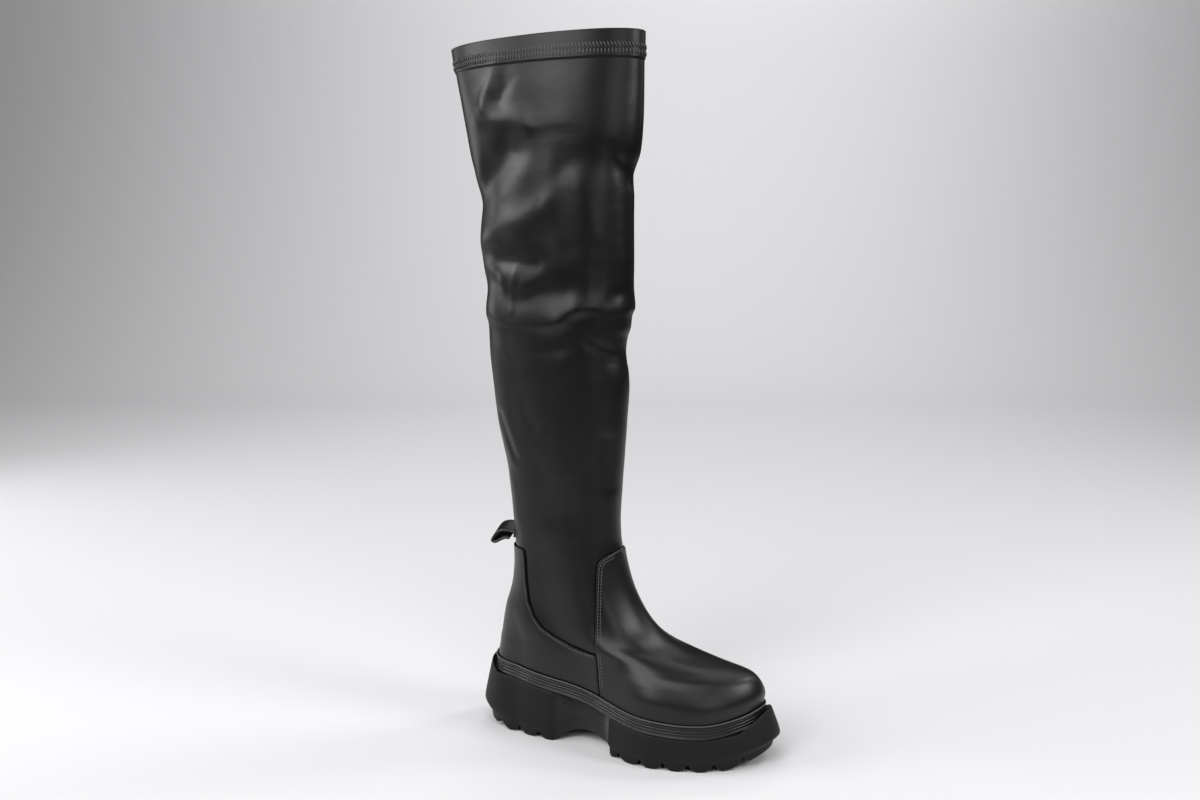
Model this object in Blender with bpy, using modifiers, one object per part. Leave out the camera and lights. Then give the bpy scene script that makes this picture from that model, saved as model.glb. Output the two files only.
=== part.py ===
"""A right over-the-knee stretch boot on a chunky lug sole, modelled piece by piece.

Metres, +Z up, toe towards +X, the boot's outer side towards -Y. The origin is on the floor under
the heel. Every curved piece follows from the sizes below and from short tables that hold shares
of them.
"""

import math

import bmesh
import bpy
import numpy as np

MM = 0.001

# Driving sizes of the boot
LAST_LENGTH = 252 * MM       # featherline, back of the heel to the tip of the toe
HEEL_BEHIND = 36 * MM        # how far the featherline reaches behind the heel's centre
HALF_BALL = 50 * MM          # half the width across the ball at the featherline
HEEL_LIFT = 67 * MM          # featherline above the floor at the back of the heel
INSTEP_RISE = 115 * MM       # from that point up to the peak of the vamp
SHAFT_RISE = 440 * MM        # from the vamp's peak up to the collar
UPPER_WALL = 1.5 * MM        # stretch cover with its lining
LEATHER = 1.4 * MM           # vamp and counter leather
CLEARANCE = 0.3 * MM         # air between neighbouring pieces
HEM_HEIGHT = 19.5 * MM         # turned and stitched band at the collar
HEM_STEP = 0.8 * MM          # how far the band stands proud of the shaft
HEM_LIP = 1.2 * MM           # height of the slope under the band

# Driving sizes of the bottom
RAND_HEIGHT = 12.5 * MM        # ribbed rand between upper and outsole
WELT_REACH = 4.4 * MM        # how far the rand's lower ridge reaches past the featherline
INSOLE_THICKNESS = 4 * MM
LUG_HEIGHT = 5.8 * MM        # depth of the grooves between the lugs
LUG_REACH = 17 * MM          # how far the edge lugs run in under the sole
HEEL_BREAST = 36 * MM        # front end of the heel block along X
TREAD_START = 97 * MM        # rear end of the forefoot block along X
WAIST_INSET = 13 * MM        # how far the side of the waist stands back
FENDER_GAP = 2.2 * MM          # open slot between rand and fender at toe and heel
FENDER_WALL = 1.4 * MM
TOE_FENDER = 10 * MM         # how far the fender climbs beside the rand at the toe
HEEL_FENDER = 7.5 * MM

STATIONS = 32                # round each ring of the upper, the rand and the insole
FOOT_ROWS = 9                # rows of the table below the ankle, where rings stand twice as dense

# Rings of the upper. Columns: back point and front point, each as share of the last's length
# along X and as rise, where 0 to 1 is the instep's rise and 1 to 2 the shaft's; then half
# widths at six places from back to front as shares of the half ball width.
PLACES = np.array((0, 0.15, 0.40, 0.70, 0.87, 1))
RING_ROWS = np.array((
    # back x, back up, front x, front up, heel, seat, waist, ball, tread, toe
    (0.004, 0.000, 0.994, -0.161, 1.18, 0.87, 0.64, 1.04, 1.18, 1.20),
    (0.010, 0.078, 1.001, -0.083, 1.14, 0.89, 0.66, 1.04, 1.12, 1.10),
    (0.014, 0.148, 0.982, 0.012, 1.10, 0.89, 0.66, 0.96, 0.96, 0.92),
    (0.021, 0.217, 0.935, 0.078, 1.06, 0.88, 0.66, 0.84, 0.79, 0.72),
    (0.025, 0.287, 0.823, 0.090, 1.00, 0.87, 0.66, 0.78, 0.68, 0.54),
    (0.032, 0.348, 0.702, 0.165, 0.96, 0.86, 0.66, 0.76, 0.78, 0.64),
    (0.038, 0.417, 0.613, 0.297, 0.90, 0.84, 0.64, 0.74, 0.80, 0.72),
    (0.052, 0.504, 0.549, 0.482, 0.82, 0.79, 0.64, 0.73, 0.80, 0.74),
    (0.067, 0.635, 0.510, 0.663, 0.78, 0.77, 0.66, 0.73, 0.79, 0.75),
    (0.073, 0.809, 0.484, 0.878, 0.75, 0.76, 0.68, 0.73, 0.77, 0.75),
    (0.067, 1.032, 0.472, 1.041, 0.75, 0.76, 0.72, 0.72, 0.76, 0.75),
    (0.052, 1.116, 0.476, 1.116, 0.77, 0.78, 0.76, 0.75, 0.78, 0.76),
    (0.002, 1.241, 0.494, 1.241, 0.82, 0.84, 0.82, 0.82, 0.84, 0.80),
    (-0.014, 1.318, 0.505, 1.318, 0.84, 0.85, 0.84, 0.84, 0.85, 0.81),
    (-0.028, 1.384, 0.499, 1.384, 0.85, 0.86, 0.86, 0.86, 0.86, 0.82),
    (-0.034, 1.445, 0.512, 1.445, 0.86, 0.87, 0.87, 0.87, 0.87, 0.84),
    (-0.052, 1.568, 0.518, 1.568, 0.88, 0.88, 0.88, 0.88, 0.88, 0.86),
    (-0.075, 1.727, 0.521, 1.727, 0.86, 0.86, 0.86, 0.86, 0.86, 0.84),
    (-0.103, 1.786, 0.546, 1.786, 0.84, 0.84, 0.83, 0.83, 0.84, 0.82),
    (-0.132, 1.859, 0.556, 1.859, 0.82, 0.82, 0.80, 0.80, 0.82, 0.80),
    (-0.177, 1.994, 0.560, 2.006, 0.74, 0.74, 0.72, 0.72, 0.74, 0.72),
))
# Columns: share of the ring from back to front, sideways shift of the ring's middle as share of
# the half ball width, towards the inner side of the foot.
SWING = np.array(((0, 0), (0.15, 0.0), (0.40, -0.06), (0.70, -0.10), (0.87, 0.00), (1, 0.16)))
# Columns: share along the last, height of the featherline as share of the heel's lift.
FEATHER = np.array((
    (0, 1.0), (0.15, 0.946), (0.30, 0.868), (0.45, 0.768), (0.55, 0.704), (0.65, 0.654),
    (0.75, 0.622), (0.85, 0.616), (0.95, 0.668), (1, 0.725),
))
FADE_ROWS = 5                # rows of rings over which the sag of the featherline dies out

# Edge of the outsole. Columns: reach of its top edge, its widest line and its foot past the
# featherline, then height of the widest line above the floor.
EDGE_SIDE = np.array((4.4, 5.6, 3.0, 13)) * MM
EDGE_TOE = np.array((9, 17, 10.5, 22.5)) * MM
EDGE_HEEL = np.array((7.5, 16.5, 9.5, 24)) * MM
# Columns: place along X, height of the underside above the floor, both in millimetres.
UNDERSIDE = np.array((
    (-60, 14), (-52, 12), (-45, 9), (-33, 5), (-22, 2.2), (-12, 0.4), (-4, 0), (34, 0), (42, 5),
    (52, 8.5), (62, 9.5), (72, 8), (80, 5), (88, 2.8), (95.5, 1.7), (96.5, 0), (190, 0), (203, 1.8),
    (214, 6), (224, 10.5), (236, 17),
)) * MM
# Edge of the rand. Columns: reach past the featherline, drop below it.
RAND_PROFILE = np.array((
    (0, 0.3), (0.6, 1.2), (2.2, 1.2), (2.8, 0.0), (3.5, 0.5), (3.5, 1.7), (2.6, 2.5), (3.3, 3.0),
    (2.7, 5.2), (3.4, 5.6), (2.8, 7.8), (3.5, 8.2), (3.1, 9.9), (4.3, 10.6), (4.3, 12.0),
    (3.4, 12.5), (0, 12.5),
)) * MM

# Notches between the lugs, measured along the edge of the sole: those of the heel from its back,
# those of the forefoot from its block's rear end.
HEEL_NOTCHES = np.array((14, 38.5, 58.5, 81)) * MM
TREAD_NOTCHES = np.array((7.5, 31, 52.5, 74.5, 97.5, 123)) * MM
# Half a notch. Columns: distance from its middle, rise as share of the lug's height.
NOTCH_REACH = np.array((0, 1.9, 5.2)) * MM
NOTCH_RISE = np.array((1, 0.45, 0.10))

# Bent bars in the middle of the tread. Columns: rear along X, middle along Y, half width.
CHEVRONS = np.array((
    (-9, 0, 12), (11, 0, 12), (112, -4, 19), (132, -4, 22), (152, -3, 22), (172, -1, 19),
)) * MM
CHEVRON_DEPTH = 9 * MM       # along X

# Small sizes of the outsole
TIP_SPREAD = 0.95            # radians over which the shapes of toe and heel fade into the sides
BREAST_LEAD = 4 * MM         # the recess of the waist starts this far behind the heel's breast
BREAST_RUN = 24 * MM         # and has its full depth after this length
COVE_RUN = 22 * MM           # length over which the recess curves out to the forefoot block
COVE_POWER = 2.4
STEP_MARGIN = 0.8 * MM       # from the block's rear end to the middle of the step
STEP_EDGES = np.array((1.6, 0.2)) * MM
WAIST_SHARES = (0.0, 0.14, 0.28, 0.42, 0.56, 0.70, 0.80, 0.88, 0.94)
LEDGE = 1 * MM               # plain top face beside the rand along the sides
FENDER_POWER = 0.8
LIP = 0.6 * MM               # rounding of the fender's edge and of the lugs' shoulders
SHOULDER = 1.2 * MM          # plain wall between a notch and the lug's shoulder
WAIST_WALL = 6 * MM          # least height of the waist's widest line above its underside
WAIST_BULGE = 0.4            # how far that line climbs towards the rand
PLAIN_REACH = 7 * MM         # width of the under edge along the waist
ROOT = 1.5 * MM              # how far lugs and bars run into the body of the sole

# Seen from the side, along X and up: edges of the vamp and of the counter.
VAMP_EDGE = np.array((
    (83, 20), (82, 54), (80.5, 68), (78.5, 88), (76, 105), (74.5, 130), (73, 158), (73.6, 166),
    (76.5, 170.4), (84, 174), (95, 177.5), (280, 177.5), (280, 20),
)) * MM
COUNTER_EDGE = np.array((
    (82.4, 20), (81.4, 54), (79.9, 68), (77.9, 87), (64, 87), (52, 90), (37, 96), (25, 103),
    (18, 112), (13, 124), (10, 143), (7, 163), (2, 173), (-12, 177), (-80, 177), (-80, 20),
)) * MM
CUTTER_REACH = 90 * MM       # half the width of the cutters made from these edges
CORE_REACH = 8 * MM          # how far a panel's core runs past the panel below and above
PANEL_GAP = 1.5 * CLEARANCE  # faceted rings need more air than flat faces
# Middle line of the pull loop seen from the side, along X and up.
LOOP_LINE = np.array((
    (-19.9, 179.6), (-20, 184.4), (-25, 186.4), (-32, 186.4), (-38, 183.4), (-41.8, 177.6),
    (-43.8, 172.6), (-42.4, 170.2), (-38.6, 171.2), (-34.6, 174.4), (-30, 177), (-25.4, 177.4),
)) * MM
LOOP_WIDTH = 13 * MM
LOOP_STRAP = 1.8 * MM


def read(knots, values, at):
    """Monotone cubic through the values at the knots, read at each place of at."""
    knots, values, at = (np.asarray(a, float) for a in (knots, values, at))
    step = np.diff(knots)
    rise = np.diff(values) / step
    slope = np.empty_like(values)
    slope[0], slope[-1] = rise[0], rise[-1]
    product = rise[:-1] * rise[1:]
    weight = 3 * (step[:-1] + step[1:])
    left = (2 * step[1:] + step[:-1]) / np.where(rise[:-1] == 0, 1, rise[:-1])
    right = (step[1:] + 2 * step[:-1]) / np.where(rise[1:] == 0, 1, rise[1:])
    total = np.where(product > 0, left + right, 1)
    slope[1:-1] = np.where(product > 0, weight / total, 0)
    at = np.clip(at, knots[0], knots[-1])
    i = np.clip(np.searchsorted(knots, at, side="right") - 1, 0, len(step) - 1)
    t = (at - knots[i]) / step[i]
    h = step[i]
    return (
        values[i] * (1 + 2 * t) * (1 - t) ** 2 + slope[i] * h * t * (1 - t) ** 2
        + values[i + 1] * t * t * (3 - 2 * t) + slope[i + 1] * h * t * t * (t - 1)
    )


def ramp(x):
    """Smooth rise from 0 to 1 while x goes from 0 to 1."""
    x = np.clip(x, 0, 1)
    return x * x * (3 - 2 * x)


def climb(rise):
    """Height above the floor of a rise counted in insteps, then in shafts."""
    return HEEL_LIFT + INSTEP_RISE * np.minimum(rise, 1) + SHAFT_RISE * np.maximum(rise - 1, 0)


def feather_height(x):
    return HEEL_LIFT * read(FEATHER[:, 0], FEATHER[:, 1], (x + HEEL_BEHIND) / LAST_LENGTH)


def ring_surface(row, turn):
    """Points of the upper: row counts the table's rows, turn runs from the back, outer side first.

    Each ring is an ellipse between its back point and its front point whose half width follows
    the table from place to place; the low rings sag with the featherline.
    """
    row, turn = np.broadcast_arrays(np.asarray(row, float), np.asarray(turn, float))
    rows = np.arange(len(RING_ROWS))
    column = [read(rows, c, row) for c in RING_ROWS.T]
    share = (1 - np.cos(turn)) / 2
    back_x = column[0] * LAST_LENGTH - HEEL_BEHIND
    front_x = column[2] * LAST_LENGTH - HEEL_BEHIND
    back_z, front_z = climb(column[1]), climb(column[3])
    x = back_x + (front_x - back_x) * share
    z = back_z + (front_z - back_z) * share
    first = RING_ROWS[0]
    chord = climb(first[1]) + (climb(first[3]) - climb(first[1])) * share
    base_x = (first[0] + (first[2] - first[0]) * share) * LAST_LENGTH - HEEL_BEHIND
    fade = np.clip(1 - row / FADE_ROWS, 0, 1) ** 1.5
    z = z + (feather_height(base_x) - chord) * fade
    half = np.zeros_like(x)
    stack = np.stack(column[4:], axis=-1)
    for i in range(len(PLACES) - 1):
        inside = (share >= PLACES[i]) & (share <= PLACES[i + 1])
        t = ramp((share - PLACES[i]) / (PLACES[i + 1] - PLACES[i]))
        half = np.where(inside, stack[..., i] + (stack[..., i + 1] - stack[..., i]) * t, half)
    calm = np.clip(1 - row / 9, 0, 1) ** 1.2
    middle = read(SWING[:, 0], SWING[:, 1], share) * HALF_BALL * calm
    y = middle - half * HALF_BALL * np.sin(turn)
    return np.stack((x, y, z), axis=-1)


def upper_surface(row, turn, out=0.0):
    """Points of the upper moved outwards by out; at the featherline they move level."""
    small = 1e-3
    last = len(RING_ROWS) - 1
    low = np.clip(row - small, 0, last)
    high = np.clip(row + small, 0, last)
    up = ring_surface(high, turn) - ring_surface(low, turn)
    along = ring_surface(row, turn + small) - ring_surface(row, turn - small)
    normal = np.cross(along, up)
    normal[..., 2] *= ramp(np.asarray(row) / 1.5)
    normal /= np.linalg.norm(normal, axis=-1, keepdims=True)
    return ring_surface(row, turn) + normal * out


def outline(turn, out):
    """Plan of the featherline moved outwards by out: x, y and the x that sets its height."""
    small = 1e-4
    here = ring_surface(0, turn)
    along = ring_surface(0, turn + small) - ring_surface(0, turn - small)
    length = np.hypot(along[..., 0], along[..., 1])
    x = here[..., 0] + along[..., 1] / length * out
    y = here[..., 1] - along[..., 0] / length * out
    return x, y, np.where(np.asarray(out) > 0, here[..., 0], x)


def add(name, bm, material, hidden=False):
    """Object from a bmesh, with its faces turned outwards."""
    bmesh.ops.recalc_face_normals(bm, faces=bm.faces)
    mesh = bpy.data.meshes.new(name)
    bm.to_mesh(mesh)
    bm.free()
    thing = bpy.data.objects.new(name, mesh)
    (cutters if hidden else parts).objects.link(thing)
    if hidden:
        thing.hide_render = True
        thing.display_type = "WIRE"
    else:
        mesh.materials.append(material)
    return thing


def loft(grid, caps):
    """Bmesh through closed rings of points; caps closes the first and last ring straight across."""
    count, around = grid.shape[:2]
    bm = bmesh.new()
    verts = [[bm.verts.new(p) for p in ring] for ring in grid]
    for low, high in zip(verts[:-1], verts[1:]):
        for i in range(around):
            j = (i + 1) % around
            bm.faces.new((low[i], low[j], high[j], high[i]))
    if caps:
        half = around // 2
        for ring in (verts[0], verts[-1]):
            bm.faces.new((ring[0], ring[1], ring[-1]))
            bm.faces.new((ring[half], ring[half - 1], ring[half + 1]))
            for i in range(1, half - 1):
                bm.faces.new((ring[i], ring[i + 1], ring[around - i - 1], ring[around - i]))
    return bm


def material(name, colour, roughness):
    m = bpy.data.materials.new(name)
    m.use_nodes = True
    shader = m.node_tree.nodes["Principled BSDF"]
    shader.inputs["Base Color"].default_value = (*colour, 1)
    shader.inputs["Roughness"].default_value = roughness
    return m


def cut(target, cutter, operation):
    """Exact Boolean on the target, applied as a modifier that stays on it."""
    change = target.modifiers.new(operation.title(), "BOOLEAN")
    change.operation = operation
    change.solver = "EXACT"
    change.object = cutter


def side_prism(name, edge):
    """Cutter: an outline seen from the side, drawn out through the whole boot."""
    bm = bmesh.new()
    face = bm.faces.new([bm.verts.new((x, -CUTTER_REACH, z)) for x, z in edge])
    moved = bmesh.ops.extrude_face_region(bm, geom=[face])["geom"]
    verts = [v for v in moved if isinstance(v, bmesh.types.BMVert)]
    bmesh.ops.translate(bm, verts=verts, vec=(0, 2 * CUTTER_REACH, 0))
    return add(name, bm, None, hidden=True)


def even_turns(count):
    return np.arange(count) * (2 * math.pi / count)


def upper():
    """Hollow shaft and lasted upper, open at the collar and along the featherline."""
    top = len(RING_ROWS) - 1
    hem = top - HEM_HEIGHT / (SHAFT_RISE * (RING_ROWS[-1, 1] - RING_ROWS[-2, 1]))
    edge = HEM_LIP / HEM_HEIGHT * (top - hem)
    rows = list(np.arange(0, FOOT_ROWS, 0.5)) + list(np.arange(FOOT_ROWS, top, 0.75))
    rows = np.array([row for row in rows if row < hem - edge] + [hem - edge, hem, top])[:, None]
    out = np.where(rows >= hem - 1e-6, HEM_STEP, 0)
    grid = upper_surface(rows, even_turns(STATIONS)[None, :], out[..., None])
    thing = add("upper", loft(grid, False), stretch_leather)
    shell = thing.modifiers.new("Wall", "SOLIDIFY")
    shell.thickness = UPPER_WALL
    shell.offset = -1
    return thing


def overlay(name, edge):
    """Leather panel: two larger forms of the upper, one cut from the other, kept inside its edge."""
    foot = list(np.arange(0, FOOT_ROWS, 0.5))
    rows = np.array(foot + [FOOT_ROWS, FOOT_ROWS + 0.75, FOOT_ROWS + 1.5])[:, None]
    turns = even_turns(STATIONS)[None, :]
    outer = upper_surface(rows, turns, PANEL_GAP + LEATHER)
    inner = upper_surface(rows, turns, PANEL_GAP)
    below = inner[:1] - np.array((0, 0, CORE_REACH))
    above = inner[-1:] + np.array((0, 0, CORE_REACH))
    inner = np.concatenate((below, inner, above))
    thing = add(name, loft(outer, True), panel_leather)
    core = add(name + "_core", loft(inner, True), None, hidden=True)
    cut(thing, core, "DIFFERENCE")
    cut(thing, side_prism(name + "_edge", edge), "INTERSECT")
    return thing


def insole():
    turns = even_turns(STATIONS)
    gap = UPPER_WALL + 3 * CLEARANCE
    rings = []
    for height, out in ((CLEARANCE, LIP), (CLEARANCE, 0), (INSOLE_THICKNESS, 0)):
        x, y, base = outline(turns, -gap - out)
        rings.append(np.stack((x, y, feather_height(base) + height), axis=-1))
    return add("insole", loft(np.array(rings), True), insole_board)


def rand():
    """Ribbed rand: a plate under the upper with a bead, three ribs and a lower ridge on its edge."""
    turns = even_turns(STATIONS)
    rings = []
    for out, drop in RAND_PROFILE:
        x, y, base = outline(turns, out)
        rings.append(np.stack((x, y, feather_height(base) - drop), axis=-1))
    return add("ribbed_rand", loft(np.array(rings), True), rand_rubber)


def lug_stations(side):
    """Turns along one side of the sole from heel to toe, with the rise of the notch at each."""
    fine = np.linspace(0, math.pi, 1500)
    x, y, _ = outline(fine if side < 0 else 2 * math.pi - fine, EDGE_SIDE[1])
    length = np.concatenate(((0,), np.cumsum(np.hypot(np.diff(x), np.diff(y)))))
    breast = np.interp(HEEL_BREAST, x, length)
    start = np.interp(TREAD_START, x, length)
    around = np.concatenate((-NOTCH_REACH[:0:-1], NOTCH_REACH))
    rise = np.concatenate((NOTCH_RISE[:0:-1], NOTCH_RISE)) * LUG_HEIGHT
    places, lifts = [0, length[-1]], [0, 0]
    for notches in (HEEL_NOTCHES, start + TREAD_NOTCHES):
        for notch in notches:
            places += list(notch + around)
            lifts += list(rise)
        places += list((notches[:-1] + notches[1:]) / 2)
        lifts += [0] * (len(notches) - 1)
    places += list(np.linspace(start + TREAD_NOTCHES[-1] + NOTCH_REACH[-1], length[-1], 4)[1:3])
    lifts += [0, 0]
    for share in WAIST_SHARES:
        places.append(breast + (start - breast) * share)
        lifts.append(0)
    places += list(start - STEP_EDGES)
    lifts += [0] * len(STEP_EDGES)
    order = np.argsort(places)
    places = np.array(places)[order]
    lifts = np.array(lifts)[order]
    keep = (places >= -1e-9) & (places <= length[-1] + 1e-9)
    return np.interp(places[keep], length, fine), lifts[keep]


def outsole():
    """Lug sole: side wall with fenders at toe and heel, recessed waist, notched lugs, hollow tread."""
    outer_turn, outer_lift = lug_stations(-1)
    inner_turn, inner_lift = lug_stations(1)
    turns = np.concatenate((outer_turn, 2 * math.pi - inner_turn[-2:0:-1]))
    lifts = np.concatenate((outer_lift, inner_lift[-2:0:-1]))
    toe = ramp(1 - np.abs(turns - math.pi) / TIP_SPREAD)
    heel = ramp(1 - np.minimum(turns, 2 * math.pi - turns) / TIP_SPREAD)
    edge = (
        EDGE_SIDE[:, None] + (EDGE_TOE - EDGE_SIDE)[:, None] * toe
        + (EDGE_HEEL - EDGE_SIDE)[:, None] * heel
    )
    base = outline(turns, 0)[2]
    fade_in = ramp((base - HEEL_BREAST + BREAST_LEAD) / BREAST_RUN)
    waist = fade_in * (base < TREAD_START - STEP_MARGIN)
    cove = 1 - np.clip(1 - (TREAD_START - base) / COVE_RUN, 0, 1) ** COVE_POWER
    inset = WAIST_INSET * waist * cove
    top = feather_height(base) - RAND_HEIGHT - CLEARANCE
    tip = np.maximum(toe, heel)
    slot = LEDGE + (WELT_REACH + FENDER_GAP - LEDGE) * np.clip(tip * 2, 0, 1)
    climbs = np.where(toe > heel, TOE_FENDER, HEEL_FENDER)
    fender = np.clip(tip * 2 - 1, 0, 1) ** FENDER_POWER * climbs
    foot_x = outline(turns, edge[2] - inset)[0]
    under = np.interp(foot_x, *UNDERSIDE.T)
    foot = under + lifts
    wide = np.maximum(edge[3], under + WAIST_WALL) + (top - edge[3]) * WAIST_BULGE * waist
    lugged = 1 - fade_in * (base < TREAD_START)
    lug_in = PLAIN_REACH + (LUG_REACH - PLAIN_REACH) * lugged
    keel = np.where(lugged > 0.5, LUG_HEIGHT, -ROOT)
    hung = (
        (-inset, 0),
        (slot - inset, 0),
        (slot + LIP - inset, fender),
        (np.maximum(slot + FENDER_WALL, edge[0]) - inset, fender - LIP),
    )
    standing = (
        (edge[1] - inset, wide),
        (edge[2] + LIP - inset, under + LUG_HEIGHT + SHOULDER),
        (edge[2] - inset, foot),
        (edge[2] - inset - lug_in, foot),
        (edge[2] - inset - lug_in - ROOT, under + keel),
    )
    rings = []
    for out, rise in hung:
        x, y, level = outline(turns, out)
        rings.append((x, y, feather_height(level) - RAND_HEIGHT - CLEARANCE + rise))
    for out, z in standing:
        rings.append((*outline(turns, out)[:2], z))
    rings = [np.stack(ring, axis=-1) for ring in rings]
    thing = add("outsole", loft(np.array(rings), True), lug_rubber)
    cut(thing, chevrons(), "UNION")
    return thing


def chevrons():
    """Bent bars in the middle of the tread, each a prism standing on the floor."""
    bm = bmesh.new()
    for x, y, half in CHEVRONS:
        points = ((0, -1), (0.5, 0), (0, 1), (1, 1), (1.5, 0), (1, -1))
        ring = [(x + a * CHEVRON_DEPTH, y + b * half) for a, b in points]
        face = bm.faces.new([bm.verts.new((a, b, 0)) for a, b in ring])
        moved = bmesh.ops.extrude_face_region(bm, geom=[face])["geom"]
        verts = [v for v in moved if isinstance(v, bmesh.types.BMVert)]
        bmesh.ops.translate(bm, verts=verts, vec=(0, 0, LUG_HEIGHT + ROOT))
    return add("chevrons", bm, None, hidden=True)


def pull_loop():
    """Strap standing from the top of the counter, bent over and rolled at its end."""
    bm = bmesh.new()
    verts = [[bm.verts.new((x, s * LOOP_WIDTH / 2, z)) for x, z in LOOP_LINE] for s in (-1, 1)]
    for i in range(len(LOOP_LINE) - 1):
        bm.faces.new((verts[0][i], verts[0][i + 1], verts[1][i + 1], verts[1][i]))
    thing = add("pull_loop", bm, panel_leather)
    shell = thing.modifiers.new("Strap", "SOLIDIFY")
    shell.thickness = LOOP_STRAP
    shell.offset = 0
    return thing


for old in list(bpy.data.objects):
    bpy.data.objects.remove(old)
parts = bpy.data.collections.new("stretch_boot")
cutters = bpy.data.collections.new("cutters")
for group in (parts, cutters):
    bpy.context.scene.collection.children.link(group)

stretch_leather = material("stretch_leather", (0.012, 0.012, 0.013), 0.42)
panel_leather = material("panel_leather", (0.010, 0.010, 0.011), 0.30)
insole_board = material("insole_lining", (0.03, 0.03, 0.03), 0.85)
rand_rubber = material("rand_rubber", (0.014, 0.014, 0.015), 0.45)
lug_rubber = material("lug_rubber", (0.013, 0.013, 0.013), 0.60)

outsole()
rand()
insole()
upper()
overlay("vamp", VAMP_EDGE)
overlay("counter", COUNTER_EDGE)
pull_loop()
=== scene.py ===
"""Looks of a right over-the-knee stretch boot: its leather, folds, seams, rubber and studio.

Every size is in metres in the CAD model's frame: toe towards +X, outer side of the foot towards
-Y, floor at z = 0. Shapes repeat the sizes and tables of the CAD model at a finer grid.
"""

import math

import bpy
import numpy as np
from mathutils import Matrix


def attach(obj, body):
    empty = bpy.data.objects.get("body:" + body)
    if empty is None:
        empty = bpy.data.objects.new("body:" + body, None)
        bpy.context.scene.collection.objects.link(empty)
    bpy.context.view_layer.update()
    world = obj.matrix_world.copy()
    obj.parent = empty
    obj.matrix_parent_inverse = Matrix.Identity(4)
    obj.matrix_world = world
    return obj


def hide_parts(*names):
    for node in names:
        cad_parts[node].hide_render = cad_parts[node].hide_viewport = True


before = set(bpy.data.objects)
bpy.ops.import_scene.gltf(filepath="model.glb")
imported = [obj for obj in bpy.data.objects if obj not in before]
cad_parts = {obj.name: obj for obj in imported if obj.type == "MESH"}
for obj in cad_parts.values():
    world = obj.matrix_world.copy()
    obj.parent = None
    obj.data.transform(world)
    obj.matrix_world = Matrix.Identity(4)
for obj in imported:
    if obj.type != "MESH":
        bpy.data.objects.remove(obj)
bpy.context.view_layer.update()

MM = 0.001
TAU = 2 * math.pi

# Driving sizes, as in the CAD model
LAST_LENGTH = 252 * MM
HEEL_BEHIND = 36 * MM
HALF_BALL = 50 * MM
HEEL_LIFT = 67 * MM
INSTEP_RISE = 115 * MM
SHAFT_RISE = 440 * MM
UPPER_WALL = 1.5 * MM
LEATHER = 1.4 * MM
PANEL_GAP = 0.45 * MM
CLEARANCE = 0.3 * MM
HEM_HEIGHT = 19.5 * MM
HEM_STEP = 0.8 * MM
RAND_HEIGHT = 12.5 * MM
WELT_REACH = 4.4 * MM
LUG_HEIGHT = 5.8 * MM
LUG_REACH = 17 * MM
HEEL_BREAST = 36 * MM
TREAD_START = 97 * MM
WAIST_INSET = 13 * MM
FENDER_GAP = 2.2 * MM
FENDER_WALL = 1.4 * MM
TOE_FENDER = 10 * MM
HEEL_FENDER = 7.5 * MM

# Rings of the upper. Columns: back point and front point, each as share of the last's length
# along X and as rise, where 0 to 1 is the instep's rise and 1 to 2 the shaft's; then half
# widths at six places from back to front as shares of the half ball width.
PLACES = np.array((0, 0.15, 0.40, 0.70, 0.87, 1))
RING_ROWS = np.array((
    # back x, back up, front x, front up, heel, seat, waist, ball, tread, toe
    (0.004, 0.000, 0.994, -0.161, 1.18, 0.87, 0.64, 1.04, 1.18, 1.20),
    (0.010, 0.078, 1.001, -0.083, 1.14, 0.89, 0.66, 1.04, 1.12, 1.10),
    (0.014, 0.148, 0.982, 0.012, 1.10, 0.89, 0.66, 0.96, 0.96, 0.92),
    (0.021, 0.217, 0.935, 0.078, 1.06, 0.88, 0.66, 0.84, 0.79, 0.72),
    (0.025, 0.287, 0.823, 0.090, 1.00, 0.87, 0.66, 0.78, 0.68, 0.54),
    (0.032, 0.348, 0.702, 0.165, 0.96, 0.86, 0.66, 0.76, 0.78, 0.64),
    (0.038, 0.417, 0.613, 0.297, 0.90, 0.84, 0.64, 0.74, 0.80, 0.72),
    (0.052, 0.504, 0.549, 0.482, 0.82, 0.79, 0.64, 0.73, 0.80, 0.74),
    (0.067, 0.635, 0.510, 0.663, 0.78, 0.77, 0.66, 0.73, 0.79, 0.75),
    (0.073, 0.809, 0.484, 0.878, 0.75, 0.76, 0.68, 0.73, 0.77, 0.75),
    (0.067, 1.032, 0.472, 1.041, 0.75, 0.76, 0.72, 0.72, 0.76, 0.75),
    (0.052, 1.116, 0.476, 1.116, 0.77, 0.78, 0.76, 0.75, 0.78, 0.76),
    (0.002, 1.241, 0.494, 1.241, 0.82, 0.84, 0.82, 0.82, 0.84, 0.80),
    (-0.014, 1.318, 0.505, 1.318, 0.84, 0.85, 0.84, 0.84, 0.85, 0.81),
    (-0.028, 1.384, 0.499, 1.384, 0.85, 0.86, 0.86, 0.86, 0.86, 0.82),
    (-0.034, 1.445, 0.512, 1.445, 0.86, 0.87, 0.87, 0.87, 0.87, 0.84),
    (-0.052, 1.568, 0.518, 1.568, 0.88, 0.88, 0.88, 0.88, 0.88, 0.86),
    (-0.075, 1.727, 0.521, 1.727, 0.86, 0.86, 0.86, 0.86, 0.86, 0.84),
    (-0.103, 1.786, 0.546, 1.786, 0.84, 0.84, 0.83, 0.83, 0.84, 0.82),
    (-0.132, 1.859, 0.556, 1.859, 0.82, 0.82, 0.80, 0.80, 0.82, 0.80),
    (-0.177, 1.994, 0.560, 2.006, 0.74, 0.74, 0.72, 0.72, 0.74, 0.72),
))
TOP_ROW = len(RING_ROWS) - 1
TOP_ROW_HEIGHT = SHAFT_RISE * (RING_ROWS[-1, 1] - RING_ROWS[-2, 1])
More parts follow.
